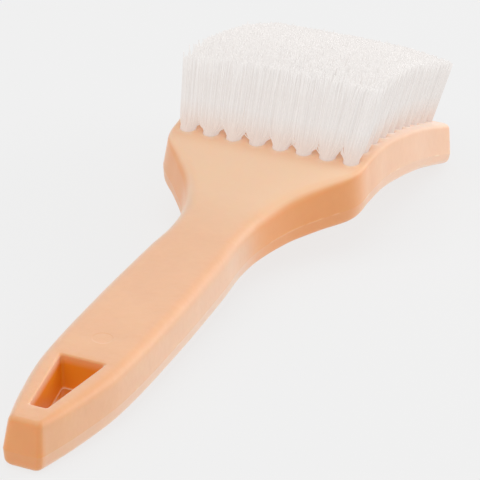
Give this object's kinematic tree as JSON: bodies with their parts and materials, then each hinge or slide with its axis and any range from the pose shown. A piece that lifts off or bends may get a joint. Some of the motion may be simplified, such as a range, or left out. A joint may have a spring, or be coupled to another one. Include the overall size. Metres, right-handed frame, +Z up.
{
  "type": "scrub brush",
  "caption": "Short-handled scrub brush with a moulded block, a flared head of straight nylon tufts and a hang hole in the handle.",
  "frame": {"origin": "under the middle of the brush as it lies on its back, on the surface that it lies on", "axes": "+X from the handle's end to the head, +Y to the left, +Z up, the way the bristles point"},
  "size_m": [0.2504, 0.0718, 0.0533],
  "materials": {
    "block": "waxy satin moulded plastic, peach, with faint mottling",
    "bristle": "translucent white nylon filament, satin",
    "anchor_wire": "plain flat wire"
  },
  "bodies": {
    "root": {"block": "block", "tuft_row_1": "bristle", "tuft_row_2": "bristle", "tuft_row_3": "bristle", "tuft_row_4": "bristle", "tuft_row_5": "bristle", "tuft_row_6": "bristle", "tuft_row_7": "bristle", "tuft_row_8": "bristle", "tuft_row_9": "bristle", "tuft_row_10": "bristle", "anchor_row_1": "anchor_wire", "anchor_row_2": "anchor_wire", "anchor_row_3": "anchor_wire", "anchor_row_4": "anchor_wire", "anchor_row_5": "anchor_wire", "anchor_row_6": "anchor_wire", "anchor_row_7": "anchor_wire", "anchor_row_8": "anchor_wire", "anchor_row_9": "anchor_wire", "anchor_row_10": "anchor_wire"}
  },
  "joints": []
}
